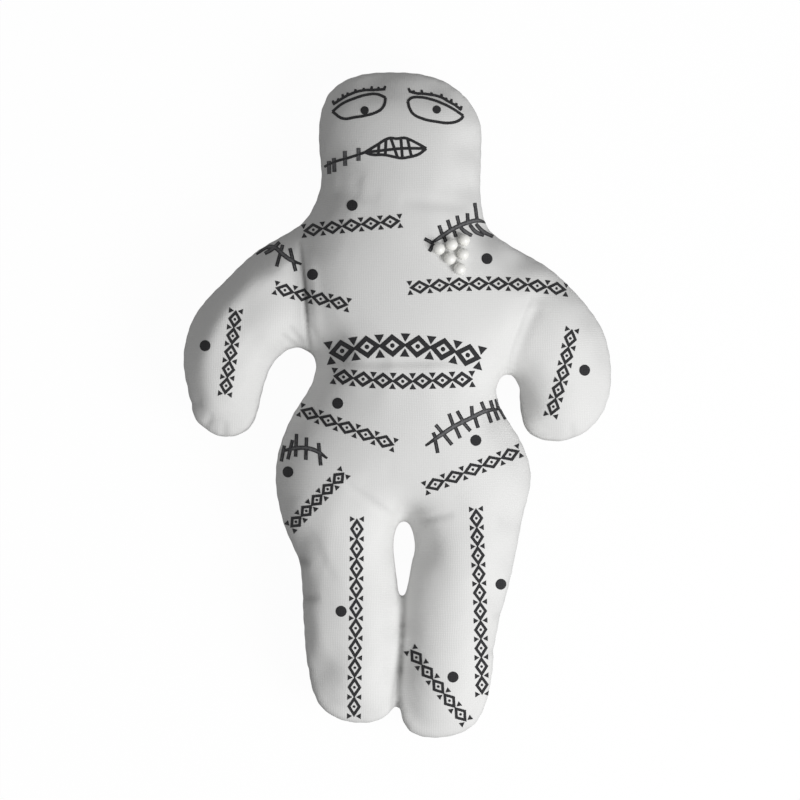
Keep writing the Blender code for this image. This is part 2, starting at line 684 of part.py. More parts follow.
def sharpen(shaft):
    """Draws the lower end of a pin's shaft in to its point."""
    net = bmesh.new()
    net.from_mesh(shaft.data)
    foot = [f for f in net.faces if f.normal.z < FACING_DOWN]
    bmesh.ops.inset_region(net, faces=foot, thickness=PIN_SHAFT_RADIUS * 0.8, depth=0)
    centre = [f for f in net.faces if f.normal.z < FACING_DOWN and f.calc_area() < PIN_SHAFT_RADIUS ** 2]
    bmesh.ops.translate(net, verts=list({v for f in centre for v in f.verts}), vec=(0, 0, -PIN_POINT_LENGTH))
    net.to_mesh(shaft.data)
    net.free()


def main():
    clear_scene()
    parts = make_collection(COLLECTION)
    cutters = make_collection(CUTTERS)
    plan = Plan()
    front = make_panel(plan, "front_panel", FRONT, parts)
    make_panel(plan, "back_panel", BACK, parts)
    stuffing = make_stuffing(plan, parts)
    skin = make_ink_skin(plan, cutters)
    make_prints(plan, skin, parts)
    make_pins(plan, front, stuffing, parts, cutters)


main()
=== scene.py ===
"""Looks of a voodoo doll: stuffed cotton printed with a face, scars, dots and bands, and six ball-head pins.

Metres, +Z up. The doll lies on Z = 0, face up, head towards +Y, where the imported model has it.
"""

import math

import bmesh
import bpy
import numpy as np
from mathutils import Matrix, Vector
from mathutils.bvhtree import BVHTree


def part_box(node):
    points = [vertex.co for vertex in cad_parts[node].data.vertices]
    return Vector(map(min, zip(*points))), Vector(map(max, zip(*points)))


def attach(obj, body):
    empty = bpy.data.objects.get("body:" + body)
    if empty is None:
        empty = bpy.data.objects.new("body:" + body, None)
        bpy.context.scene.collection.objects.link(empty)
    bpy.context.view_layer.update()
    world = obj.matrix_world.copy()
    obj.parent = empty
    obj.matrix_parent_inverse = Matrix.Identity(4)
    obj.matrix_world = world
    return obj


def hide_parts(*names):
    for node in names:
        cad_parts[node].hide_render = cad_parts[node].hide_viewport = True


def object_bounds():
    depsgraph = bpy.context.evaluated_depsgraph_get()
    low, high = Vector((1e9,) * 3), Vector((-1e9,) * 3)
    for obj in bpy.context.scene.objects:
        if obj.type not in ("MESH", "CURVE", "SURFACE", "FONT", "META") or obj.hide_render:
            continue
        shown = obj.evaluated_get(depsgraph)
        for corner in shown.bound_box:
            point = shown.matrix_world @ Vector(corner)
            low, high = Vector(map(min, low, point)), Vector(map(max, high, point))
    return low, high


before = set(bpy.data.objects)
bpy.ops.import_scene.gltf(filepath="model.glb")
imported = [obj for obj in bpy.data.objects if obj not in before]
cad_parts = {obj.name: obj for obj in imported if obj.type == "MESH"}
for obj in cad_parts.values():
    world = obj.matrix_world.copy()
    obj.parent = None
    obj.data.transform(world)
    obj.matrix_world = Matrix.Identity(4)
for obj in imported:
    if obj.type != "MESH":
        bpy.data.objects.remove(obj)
cad_low, cad_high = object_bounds()
scene = bpy.context.scene
scene.view_settings.view_transform = "Standard"

# Camera
# It hangs straight above the doll with a long lens, the doll's head at the top of the picture.
# The doll is as long in the picture as DOLL_ROWS says, and the seam is where that is measured.
PICTURE_PIXELS = 800
MIDDLE_COLUMN = 397.25
MIDDLE_ROW = 405.0
DOLL_ROWS = 665.0
SEAM_HEIGHT = 0.030
CAMERA_HEIGHT = 3.0
SENSOR_WIDTH = 36.0
PIXEL = (cad_high.y - cad_low.y) / DOLL_ROWS


def over_seam(column, row):
    """The place of a pixel on the level of the seam."""
    return Vector(((column - MIDDLE_COLUMN) * PIXEL, (MIDDLE_ROW - row) * PIXEL, SEAM_HEIGHT))


picture_middle = over_seam(PICTURE_PIXELS / 2, PICTURE_PIXELS / 2)
bpy.ops.object.camera_add(location=(picture_middle.x, picture_middle.y, CAMERA_HEIGHT), rotation=(0, 0, 0))
camera = bpy.context.object
camera.name = "camera"
camera.data.sensor_width = SENSOR_WIDTH
camera.data.lens = SENSOR_WIDTH * (CAMERA_HEIGHT - SEAM_HEIGHT) / (PICTURE_PIXELS * PIXEL)
camera.data.clip_end = 20
scene.camera = camera

# Cloth cover
# Two panels of white cotton are sewn round one seam, turned, stuffed tight and closed.
# The cloth is blown up as the filling does it, and then gets its folds, its seam and the pins' dimples.
SAME_POINT = 0.00002
SEAM_GAP = 0.0006
BORE_EDGE = 0.0008
LEVEL = 0.001
CLOTH_VOXEL = 0.0027
FACET_SMOOTHING = 40
STUFFING_PRESSURE = 4.0
SIMULATED_FRAMES = 20
FARTHEST_MOVE = 0.0030
FORM_PASSES = 4
FORM_SMOOTHING = 50
RIM_PASSES = 3
RIM_SMOOTHING = 3
RIM_REACH = 0.004
CORNERS_APART = 0.004
SEAM_PIECES = 4
LEGS_TOUCH = [(402, 626), (400.5, 650), (397.5, 685), (396, 718)]
TOUCH_PUSH = 0.0012
TOUCH_REACH = 0.005
PLUMPNESS = 0.0004
FRONT, BACK = 1, -1
CLOTH_SETTINGS = {"quality": 5, "mass": 0.2, "tension_stiffness": 25, "compression_stiffness": 25,
                  "shear_stiffness": 12, "bending_stiffness": 2, "use_pressure": True}
# The cloth's real threads are about 0.4 mm apart, and are drawn 0.9 mm apart so that they show
THREAD_SPACING = 0.0009
THREAD_WANDER = 0.012
THREAD_DEPTH = 0.00012
THREAD_RELIEF = 0.6
# Shade painted between the threads: how far the gaps between them are darkened towards COTTON_SHADOW
THREAD_GAP_SHADE = 0.08
# Shade painted into the seam's groove: how far the cloth there is darkened towards COTTON_SHADOW
SEAM_SHADE = 0.45
CLOUD_SIZE = 0.03
FUZZ_SIZE = 0.0009
COTTON_PALE = "#E8E8E7"
COTTON_GREY = "#E1E1E0"
COTTON_SHADOW = "#949493"


def only(*things):
    """Leaves just these objects selected, and the last one active."""
    bpy.ops.object.select_all(action="DESELECT")
    for thing in things:
        thing.select_set(True)
    bpy.context.view_layer.objects.active = things[-1]


def add_piece(name, mesh):
    piece = bpy.data.objects.new(name, mesh)
    scene.collection.objects.link(piece)
    return piece


def apply_modifier(piece, kind, **settings):
    """Adds a modifier, sets it and applies it."""
    modifier = piece.modifiers.new(kind.lower(), kind)
    for name, value in settings.items():
        setattr(modifier, name, value)
    only(piece)
    bpy.ops.object.modifier_apply(modifier=modifier.name)


def read_points(mesh, normals=False):
    """The mesh's points, or its normals, one row each."""
    rows = np.empty(len(mesh.vertices) * 3, np.float32)
    source = mesh.vertex_normals if normals else mesh.vertices
    source.foreach_get("vector" if normals else "co", rows)
    return rows.reshape(-1, 3).astype(float)


def write_points(mesh, points):
    mesh.vertices.foreach_set("co", points.astype(np.float32).ravel())
    mesh.update()


def outer_faces(node, side):
    """The outside of one panel as an open sheet, with the pins' holes closed."""
    sheet = bmesh.new()
    sheet.from_mesh(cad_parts[node].data)
    bmesh.ops.remove_doubles(sheet, verts=sheet.verts, dist=SAME_POINT)
    inner = [face for face in sheet.faces if face.normal.z * side < LEVEL]
    bmesh.ops.delete(sheet, geom=inner, context="FACES")
    bores = [edge for edge in sheet.edges if edge.is_boundary and edge.calc_length() < BORE_EDGE]
    bmesh.ops.holes_fill(sheet, edges=bores)
    mesh = bpy.data.meshes.new(node + "_outside")
    sheet.to_mesh(mesh)
    sheet.free()
    return mesh


def sew_panels():
    """Both panels' outsides as one closed bag, and the corners of the seam between them in order."""
    bag = bmesh.new()
    bag.from_mesh(outer_faces("front_panel", FRONT))
    bag.from_mesh(outer_faces("back_panel", BACK))
    rim = [vertex for vertex in bag.verts if vertex.is_boundary]
    bmesh.ops.remove_doubles(bag, verts=rim, dist=SEAM_GAP)
    bmesh.ops.delete(bag, geom=[edge for edge in bag.edges if not edge.link_faces], context="EDGES")
    bmesh.ops.holes_fill(bag, edges=[edge for edge in bag.edges if edge.is_boundary])
    bmesh.ops.recalc_face_normals(bag, faces=bag.faces)
    joins = [edge for edge in bag.edges if edge.link_faces[0].normal.z * edge.link_faces[1].normal.z < 0]
    beside = {}
    for edge in joins:
        for vertex in edge.verts:
            beside.setdefault(vertex, []).append(edge.other_vert(vertex))
    start, here = joins[0].verts
    behind, corners = start, [start.co.copy()]
    while here is not start:
        corners.append(here.co.copy())
        behind, here = here, next(vertex for vertex in beside[here] if vertex is not behind)
    mesh = bpy.data.meshes.new("cotton_cover")
    bag.to_mesh(mesh)
    bag.free()
    return mesh, np.array(corners)


def blow_up(piece, pressure, farthest):
    """Cloth simulation of the filling's push, after which no point lies farther off than it may."""
    start = read_points(piece.data)
    modifier = piece.modifiers.new("stuffed", "CLOTH")
    for name, value in CLOTH_SETTINGS.items():
        setattr(modifier.settings, name, value)
    modifier.settings.uniform_pressure_force = pressure
    modifier.settings.effector_weights.gravity = 0
    modifier.collision_settings.use_collision = False
    for number in range(1, SIMULATED_FRAMES + 1):
        scene.frame_set(number)
    only(piece)
    bpy.ops.object.modifier_apply(modifier=modifier.name)
    scene.frame_set(1)
    move = read_points(piece.data) - start
    far = np.linalg.norm(move, axis=1, keepdims=True)
    write_points(piece.data, start + move * np.minimum(1, farthest / np.maximum(far, SAME_POINT)))


def along_line(points, line):
    """Each point's distance from a line, its share of the way along, and the line's place nearest to it."""
    line = np.asarray(line, float)
    steps = np.linalg.norm(np.diff(line, axis=0), axis=1)
    travelled = np.concatenate([[0], np.cumsum(steps)])
    best = np.full(len(points), np.inf)
    share = np.zeros(len(points))
    nearest = np.zeros_like(points)
    for a, b, gone, step in zip(line[:-1], line[1:], travelled[:-1], steps):
        along = np.clip((points - a) @ (b - a) / step ** 2, 0, 1)
        place = a + along[:, None] * (b - a)
        far = np.linalg.norm(points - place, axis=1)
        near = far < best
        best[near] = far[near]
        share[near] = (gone + along[near] * step) / travelled[-1]
        nearest[near] = place[near]
    return best, share, nearest


def even_out(mesh, values, passes):
    """Evens out one value per point over the mesh."""
    ends = np.empty(len(mesh.edges) * 2, np.int32)
    mesh.edges.foreach_get("vertices", ends)
    here, there = ends.reshape(-1, 2).T
    count = len(mesh.vertices)
    neighbours = np.bincount(here, minlength=count) + np.bincount(there, minlength=count)
    for _ in range(passes):
        around = np.bincount(here, values[there], count) + np.bincount(there, values[here], count)
        values = (values + around / neighbours) / 2
    return values


def follow_form(mesh):
    """Moves the cloth to the form that it was cut to, evenly enough that the form's facets don't show."""
    points, normals = read_points(mesh), read_points(mesh, normals=True)
    nearest = np.array([form.find_nearest(Vector(point))[0] for point in points])
    gap = ((nearest - points) * normals).sum(1)
    write_points(mesh, points + normals * even_out(mesh, gap, FORM_SMOOTHING)[:, None])


def follow_seam(mesh):
    """Brings the cloth's edge out to the seam, and any cloth past the seam back in, in plan."""
    points, normals = read_points(mesh), read_points(mesh, normals=True)
    far, _, nearest = along_line(points[:, :2], closed_seam[:, :2])
    gap = ((nearest - points[:, :2]) * normals[:, :2]).sum(1) * np.exp(-(far / RIM_REACH) ** 2)
    gap *= np.where(gap > 0, np.exp(-((points[:, 2] - SEAM_HEIGHT) / RIM_REACH) ** 2), 1)
    write_points(mesh, points + normals * even_out(mesh, gap, RIM_SMOOTHING)[:, None])


def round_off(corners):
    """A smooth closed line through the corners, without those that lie close on the one before."""
    apart = np.linalg.norm(corners - np.roll(corners, 1, axis=0), axis=1)
    corners = corners[apart > CORNERS_APART]
    before, after = np.roll(corners, 1, axis=0), np.roll(corners, -1, axis=0)
    back = np.linalg.norm(corners - before, axis=1)[:, None]
    ahead = np.linalg.norm(after - corners, axis=1)[:, None]
    slope = ((after - corners) * back / ahead + (corners - before) * ahead / back) / (back + ahead)
    rows = [(2 * t ** 3 - 3 * t ** 2 + 1) * corners + (t ** 3 - 2 * t ** 2 + t) * ahead * slope
            + (3 * t ** 2 - 2 * t ** 3) * after + (t ** 3 - t ** 2) * ahead * np.roll(slope, -1, axis=0)
            for t in np.linspace(0, 1, SEAM_PIECES, endpoint=False)]
    line = np.stack(rows, axis=1).reshape(-1, 3)
    return np.vstack([line, line[:1]])


def press_legs_together(mesh):
    """Lets the legs overlap a little where they touch, so that one even groove is left between them."""
    points = read_points(mesh)
    far, _, _ = along_line(points[:, :2], [over_seam(*pixel)[:2] for pixel in LEGS_TOUCH])
    push = TOUCH_PUSH * np.exp(-(far / TOUCH_REACH) ** 2)
    write_points(mesh, points + read_points(mesh, normals=True) * push[:, None])


bag, seam = sew_panels()
closed_seam = round_off(seam)
form = BVHTree.FromPolygons([vertex.co for vertex in bag.vertices],
                            [face.vertices[:] for face in bag.polygons])
press_legs_together(bag)
cover = add_piece("cotton_cover", bag)
apply_modifier(cover, "REMESH", mode="VOXEL", voxel_size=CLOTH_VOXEL)
apply_modifier(cover, "SMOOTH", factor=0.5, iterations=FACET_SMOOTHING)
blow_up(cover, STUFFING_PRESSURE, FARTHEST_MOVE)
for _ in range(FORM_PASSES):
    follow_form(cover.data)
write_points(cover.data, read_points(cover.data) + read_points(cover.data, normals=True) * PLUMPNESS)
for _ in range(RIM_PASSES):
    follow_seam(cover.data)
apply_modifier(cover, "SUBSURF", levels=1, render_levels=1)

# Folds of the front: each is a line in the picture's pixels, how deep and how wide it is pressed in
# millimetres, and how much shade is painted into the cloth along it. Along the first four the filling stands
# out instead.
FOLDS = [
    ([(302, 252), (282, 258), (261, 271), (237, 293), (214, 326), (203, 361), (203, 392), (211, 419)],
     -4.2, 8.5, 0.0),
    ([(308, 252), (311.5, 275), (314, 300), (316.5, 325), (319, 345)], -1.6, 3.5, 0.0),
    ([(288, 500), (303, 545), (309, 580), (313, 620), (317, 655), (322, 700)], -2.4, 7.0, 0.0),
    ([(329, 165), (333, 180), (333, 195)], -1.0, 3.5, 0.0),
    ([(300, 241), (302.5, 262), (305, 285), (306.5, 307), (307.5, 329), (311, 352)], 1.4, 1.1, 0.9),
    ([(290, 326), (297, 336), (304, 345)], 0.6, 1.4, 0.2),
    ([(282, 334), (290, 341), (299, 346)], 0.5, 1.3, 0.2),
    ([(307, 318), (316, 338), (334, 352)], 0.5, 1.8, 0.0),
    ([(511, 368), (523, 335), (540, 295)], 1.1, 3.2, 0.0),
    ([(506, 370), (513, 345), (524, 315), (533, 293)], 0.5, 1.0, 0.15),
    ([(330, 362), (366, 364), (404, 363.5), (442, 363), (480, 365)], 1.0, 2.2, 0.2),
    ([(325, 192), (352, 196), (380, 200)], 0.6, 4.5, 0.0),
    ([(400, 203), (436, 206), (470, 208)], 0.7, 3.5, 0.1),
    ([(345.7, 483.4), (370, 499), (395.7, 518.6)], 0.9, 2.0, 0.1),
    ([(416.5, 521), (434, 517), (453, 513)], 0.8, 2.0, 0.2),
    ([(403.5, 592), (402.5, 620), (401, 650), (398.5, 685), (396.5, 722)], 0.8, 1.7, 1.0),
    ([(401, 636), (398, 668), (394.5, 690), (391, 715)], 0.3, 1.6, 0.5),
    ([(294, 559), (303, 561), (312, 563)], 0.2, 2.8, 0.5),
    ([(300, 598), (310, 598), (321, 596)], 0.3, 2.6, 0.4),
    ([(363, 158), (362, 180), (361, 206)], 0.4, 5.0, 0.0),
    ([(512, 612), (502, 614), (492, 616)], 0.6, 2.0, 0.1),
    ([(504, 648), (495, 650), (486, 652)], 0.6, 2.0, 0.1),
    ([(182, 402), (193, 404), (203, 403)], 0.6, 2.2, 0.1),
    ([(203, 436), (208, 424), (213, 412)], 0.6, 1.9, 0.1),
    ([(224, 444), (224, 432), (226, 420)], 0.6, 1.9, 0.1),
    ([(572, 446), (572, 434), (570, 422)], 0.5, 2.0, 0.1),
]
FACING_SPAN = 0.4
SEAM_DEPTH = 0.0008
SEAM_WIDTH = 0.0010
PUCKER_HEIGHT = 0.0001
PUCKER_SPACING = 0.0075
PUCKER_REACH = 0.0030
MILLIMETRE = 0.001
PIN_NODES = ["pin_head_%d" % number for number in range(1, 7)]
PIN_SINK = 0.0004
DIMPLE_WIDTH = 0.0035
DIMPLE_REACH = 4
DIMPLE_PASSES = 4


def press_folds(points, normals):
    """Presses the folds into the side that faces the camera and round its edge, and gives each point's
    painted shade.

    What stands out is raised straight up, which leaves the outline as it is.
    """
    facing = normals[:, 2] / FACING_SPAN
    # grey holds the shade painted into the cloth along the folds, where shade falls in the creases
    grey = np.zeros(len(points))
    for pixels, depth, width, shadow in FOLDS:
        line = [over_seam(*pixel)[:2] for pixel in pixels]
        far, share, _ = along_line(points[:, :2], line)
        groove = np.exp(-(far / (width * MILLIMETRE)) ** 2) * np.sin(math.pi * share) ** 0.5
        groove *= np.clip(facing + (depth > 0), 0, 1)
        way = normals if depth > 0 else (0, 0, 1)
        points = points - way * (groove * depth * MILLIMETRE)[:, None]
        grey = np.maximum(grey, groove * shadow)
    return points, grey


def sew_seam(points, normals):
    """Draws the cloth in along the seam, puckered beside it, and gives each point's distance to it."""
    far, share, _ = along_line(points, closed_seam)
    length = np.linalg.norm(np.diff(closed_seam, axis=0), axis=1).sum()
    waves = np.cos(2 * math.pi * share * round(length / PUCKER_SPACING))
    draw = SEAM_DEPTH * np.exp(-(far / SEAM_WIDTH) ** 2)
    reach = far / PUCKER_REACH
    pucker = PUCKER_HEIGHT * waves * reach * np.exp((1 - reach ** 2) / 2)
    return points - normals * (draw + pucker)[:, None], far


def dimple_under_pins(points):
    """Brings the cloth to the foot of each pin's head, smoothly from the cloth around."""
    heads = [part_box(node) for node in PIN_NODES]
    seats = np.array([((low + high) / 2)[:2] + (low.z + PIN_SINK,) for low, high in heads])
    for _ in range(DIMPLE_PASSES):
        for seat in seats:
            far = np.linalg.norm(points[:, :2] - seat[:2], axis=1)
            near = (far < DIMPLE_REACH * DIMPLE_WIDTH) & (points[:, 2] > SEAM_HEIGHT)
            foot = points[near][np.argmin(far[near]), 2]
            points[near, 2] += (seat[2] - foot) * np.exp(-(far[near] / DIMPLE_WIDTH) ** 2)
    return points


points = read_points(cover.data)
points, fold_shade = press_folds(points, read_points(cover.data, normals=True))
write_points(cover.data, points)
points, seam_distance = sew_seam(points, read_points(cover.data, normals=True))
points = dimple_under_pins(points)
points[:, 2] = np.maximum(points[:, 2], 0)
write_points(cover.data, points)
cover.data.shade_smooth()
cloth_surface = BVHTree.FromPolygons(points.tolist(), [face.vertices[:] for face in cover.data.polygons])


def linear(hex_colour):
    """An sRGB hex colour as the linear colour that a shader takes."""
    shares = [int(hex_colour[k:k + 2], 16) / 255 for k in (1, 3, 5)]
    return [c / 12.92 if c <= 0.04045 else ((c + 0.055) / 1.055) ** 2.4 for c in shares] + [1.0]


def new_material(name, **sockets):
    """A material of the given name, and its shader with the sockets set that are the same all over."""
    material = bpy.data.materials.new(name)
    material.use_nodes = True
    shader = material.node_tree.nodes["Principled BSDF"]
    for socket, value in sockets.items():
        shader.inputs[socket.replace("_", " ")].default_value = value
    return material, shader


def add_node(material, kind, inputs=(), **settings):
    """Adds a shader node with its settings. An input takes a value, or the output that it is linked to."""
    node = material.node_tree.nodes.new("ShaderNode" + kind)
    for name, value in settings.items():
        setattr(node, name, value)
    for name, value in dict(inputs).items():
        if isinstance(value, bpy.types.NodeSocket):
            material.node_tree.links.new(value, node.inputs[name])
        else:
            node.inputs[name].default_value = value
    return node


def weave(material):
    """The height of a plain weave, 0 between the threads and 1 on them, and the place that it is read at.

    Each axis has the weave of the other two, and counts as much as the cloth faces it.
    """
    place = add_node(material, "TexCoord")
    wander = add_node(material, "TexNoise", {"Vector": place.outputs["Object"], "Scale": 1 / THREAD_WANDER,
                                             "Detail": 2.0})
    moved = add_node(material, "VectorMath", {0: wander.outputs["Color"], 1: (2 * THREAD_SPACING,) * 3,
                                              2: place.outputs["Object"]}, operation="MULTIPLY_ADD")
    turns = add_node(material, "VectorMath", {0: moved.outputs[0], "Scale": math.pi / THREAD_SPACING},
                     operation="SCALE")
    squares = add_node(material, "VectorMath", {0: place.outputs["Normal"], 1: place.outputs["Normal"]},
                       operation="MULTIPLY")
    along = add_node(material, "SeparateXYZ", {0: turns.outputs[0]})
    facing = add_node(material, "SeparateXYZ", {0: squares.outputs[0]})
    waves = [add_node(material, "Math", {0: along.outputs[k]}, operation="SINE") for k in range(3)]
    height = 0.0
    for k in range(3):
        warp, weft = waves[(k + 1) % 3].outputs[0], waves[(k + 2) % 3].outputs[0]
        crossing = add_node(material, "Math", {0: warp, 1: weft}, operation="MULTIPLY")
        bump = add_node(material, "Math", {0: crossing.outputs[0]}, operation="ABSOLUTE")
        added = add_node(material, "Math", {0: bump.outputs[0], 1: facing.outputs[k], 2: height},
                         operation="MULTIPLY_ADD")
        height = added.outputs[0]
    return height, place.outputs["Object"]


def noise(material, place, size, detail=2.0, roughness=0.5):
    """A soft pattern whose spots are about the given size."""
    made = add_node(material, "TexNoise", {"Vector": place, "Scale": 1 / size, "Detail": detail,
                                           "Roughness": roughness})
    return made.outputs["Fac"]


def mix_colours(material, share, first, second):
    """A colour from the first at share 0 to the second at share 1; each is a hex colour or an output."""
    ends = [linear(c) if isinstance(c, str) else c for c in (first, second)]
    made = add_node(material, "Mix", {"Factor": share, 6: ends[0], 7: ends[1]}, data_type="RGBA")
    return made.outputs[2]


def shade(material, shader, colour=None, height=None, depth=0.0001, strength=1.0):
    """Links a colour and a height pattern, of a real depth, into the shader."""
    links = material.node_tree.links
    if colour is not None:
        links.new(colour, shader.inputs["Base Color"])
    if height is not None:
        bump = add_node(material, "Bump", {"Height": height, "Distance": depth, "Strength": strength})
        links.new(bump.outputs["Normal"], shader.inputs["Normal"])


def add_attribute(mesh, name, values):
    attribute = mesh.attributes.new(name, "FLOAT", "POINT")
    attribute.data.foreach_set("value", np.asarray(values, np.float32))


def cotton():
    """Brushed white cotton: a matt, even cloth whose threads just show, with shade painted between the
    threads, in the seam's groove and in the folds.
    """
    material, shader = new_material("brushed_white_cotton", Roughness=0.92, Sheen_Weight=0.12,
                                    Sheen_Roughness=0.6, Specular_IOR_Level=0.2)
    height, place = weave(material)
    cloudy = mix_colours(material, noise(material, place, CLOUD_SIZE), COTTON_PALE, COTTON_GREY)
    # Painted shade: the gaps between the threads are darkened towards COTTON_SHADOW, where shade falls
    threads = add_node(material, "MapRange", {"Value": height, "From Min": 0.0, "From Max": 1.0,
                                              "To Min": THREAD_GAP_SHADE, "To Max": 0.0})
    weave_with_shade = mix_colours(material, threads.outputs[0], cloudy, COTTON_SHADOW)
    # Painted shade: the cloth is darkened in the seam's groove and in the folds, where shade falls
    near = add_node(material, "Attribute", attribute_name="seam_distance")
    groove = add_node(material, "MapRange", {"Value": near.outputs["Fac"], "From Min": 0.0,
                                             "From Max": 1.5 * SEAM_WIDTH, "To Min": SEAM_SHADE,
                                             "To Max": 0.0}, interpolation_type="SMOOTHSTEP")
    painted_fold_shade = add_node(material, "Attribute", attribute_name="fold_shade")
    painted_shade = add_node(material, "Math", {0: groove.outputs[0], 1: painted_fold_shade.outputs["Fac"]},
                       operation="MAXIMUM")
    colour = mix_colours(material, painted_shade.outputs[0], weave_with_shade, COTTON_SHADOW)
    fuzz = noise(material, place, FUZZ_SIZE, detail=3.0, roughness=0.7)
    relief = add_node(material, "Math", {0: fuzz, 1: 0.5, 2: height}, operation="MULTIPLY_ADD")
    shade(material, shader, colour, relief.outputs[0], depth=THREAD_DEPTH, strength=THREAD_RELIEF)
    return material


def dress(thing, material):
    """Gives a piece, or a node of the model, its one material."""
    thing.data.materials.clear()
    thing.data.materials.append(material)


add_attribute(cover.data, "seam_distance", seam_distance)
# The folds' painted shade, which the cotton's colour reads
add_attribute(cover.data, "fold_shade", fold_shade)
dress(cover, cotton())
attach(cover, "root")
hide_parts("front_panel", "back_panel")

# Fibre filling
# Loose polyester fibre, pushed in by hand through a gap in the seam, fills the cover to its edges.
# It has the cover's own shape, a cloth's thickness smaller.
FIBRE_INSET = 0.0014
CLUMP_SIZE = 0.006
CLUMP_DEPTH = 0.002
FIBRE_WHITE = "#F2F2EE"
FIBRE_SHADOW = "#D2D2CC"

filling = add_piece("fibre_filling", cover.data.copy())
apply_modifier(filling, "DECIMATE", decimate_type="UNSUBDIV", iterations=2)
apply_modifier(filling, "DISPLACE", strength=-FIBRE_INSET, mid_level=0)
filling.data.shade_smooth()


def fibre():
    """Loose polyester fibre: white, dull and clumped."""
    material, shader = new_material("polyester_fibre_fill", Roughness=1.0, Sheen_Weight=0.2)
    place = add_node(material, "TexCoord").outputs["Object"]
    clumps = noise(material, place, CLUMP_SIZE, detail=4.0, roughness=0.7)
    colour = mix_colours(material, clumps, FIBRE_WHITE, FIBRE_SHADOW)
    shade(material, shader, colour, clumps, depth=CLUMP_DEPTH)
    return material


dress(filling, fibre())
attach(filling, "root")
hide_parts("stuffing")

# Printed face
# Eyes, lashes and mouth are drawn in black ink on the cloth before it is sewn, so they follow its bulge.
# A stroke is a fine cord of ink pressed flat, and its height over the flat becomes its height over the cloth.
INK_GAP = 0.00014
INK_FILM = 0.00005
INK_STEP = 0.0008
ABOVE = 0.2
INK_PATCH = 0.0012
INK_BLACK = "#1F1F21"
INK_WORN = "#3E3E40"
EYE_LINE = 0.0015
PUPIL_RADIUS = 0.0022
LASH_LINE = 0.0015
LASH_LENGTH = 0.0020
LASHES = 9
LASH_ENDS = (0.03, 0.97)
LASH_SPREAD = 0.9
LASH_VARIETY = [1.0, 0.7, 1.1, 0.8]
LASH_TAPER = 0.7
MOUTH_LINE = 0.0015
# Each eye's upper lid, then its lower lid
EYES = {
    "left": [[(332.5, 111.7), (342, 104), (355, 98.3), (366, 95), (376.5, 94.2), (385.5, 97.6)],
             [(385.5, 97.6), (384.8, 103.4), (381.6, 109), (376.5, 112.3), (363.8, 116), (354.8, 117.4),
              (343.4, 118.7), (332.5, 111.7)]],
    "right": [[(407.8, 101.5), (411, 98.3), (420, 97.4), (428.8, 98.9), (440.3, 102.7), (453, 109),
               (463.3, 116)],
              [(463.3, 116), (460.7, 119.3), (451.8, 122.8), (435.2, 121.6), (422.4, 118.7), (413.5, 114.2),
               (409.7, 108.5), (407.8, 101.5)]],
}
PUPILS = {"left": (364.7, 110.4), "right": (436.7, 109.7)}
LASH_LINES = {
    "left": [(333, 104.6), (340.8, 99.5), (348.5, 95.1), (362.5, 90.6), (375.3, 90), (385.5, 89.3)],
    "right": [(409, 91.3), (414.8, 93.2), (427.6, 94.4), (441.6, 97.6), (448, 101.5), (455, 105.3),
              (461.4, 110.4)],
}
LIPS = [[(365, 152.5), (376.5, 145.5), (389.3, 138.4), (397, 138.8), (404.6, 138.1), (409.7, 139.7),
         (418.6, 144.2), (426.3, 148.6)],
        [(365, 152.5), (371.4, 154.6), (384.2, 155), (394.4, 157), (400.8, 158.2), (409.7, 157),
         (418.6, 154.4), (426.3, 148.6)],
        [(366, 152.5), (388, 149.9), (402, 148.6), (425, 148.6)]]
TEETH = [[(379, 144.3), (378.4, 154.6)], [(386, 140.4), (385.4, 155)], [(391, 138.6), (397.6, 157.4)],
         [(401, 138.6), (402.4, 158)], [(407.6, 139.2), (411.4, 156.4)]]


def soaked_ink(name, dark, worn):
    """Textile ink soaked into the cloth: matt, with the threads' tops a little worn."""
    material, shader = new_material(name, Roughness=0.8, Specular_IOR_Level=0.25)
    height, place = weave(material)
    patches = noise(material, place, INK_PATCH)
    wear = add_node(material, "Math", {0: height, 1: patches}, operation="MULTIPLY")
    colour = mix_colours(material, wear.outputs[0], dark, worn)
    shade(material, shader, colour, height, depth=THREAD_DEPTH, strength=THREAD_RELIEF)
    return material, shader, place


black_ink = soaked_ink("black_textile_ink", INK_BLACK, INK_WORN)[0]


def on_cloth(pixel):
    """Where a pixel's line of sight meets the cloth, or the nearest cloth to it past the doll's edge."""
    eye = camera.location
    place, _, _, _ = cloth_surface.ray_cast(eye, over_seam(*pixel) - eye)
    return place or cloth_surface.find_nearest(over_seam(*pixel))[0]


def lay_on_cloth(mark):
    """Drops a mark that is modelled flat, so that its heights become heights over the cloth."""
    for vertex in mark.data.vertices:
        above = Vector((vertex.co.x, vertex.co.y, ABOVE))
        place, normal, _, _ = cloth_surface.ray_cast(above, Vector((0, 0, -1)))
        if place is None:
            place, normal, _, _ = cloth_surface.find_nearest(Vector((vertex.co.x, vertex.co.y, SEAM_HEIGHT)))
        vertex.co = place + normal * (INK_GAP + vertex.co.z)
    mark.data.shade_smooth()


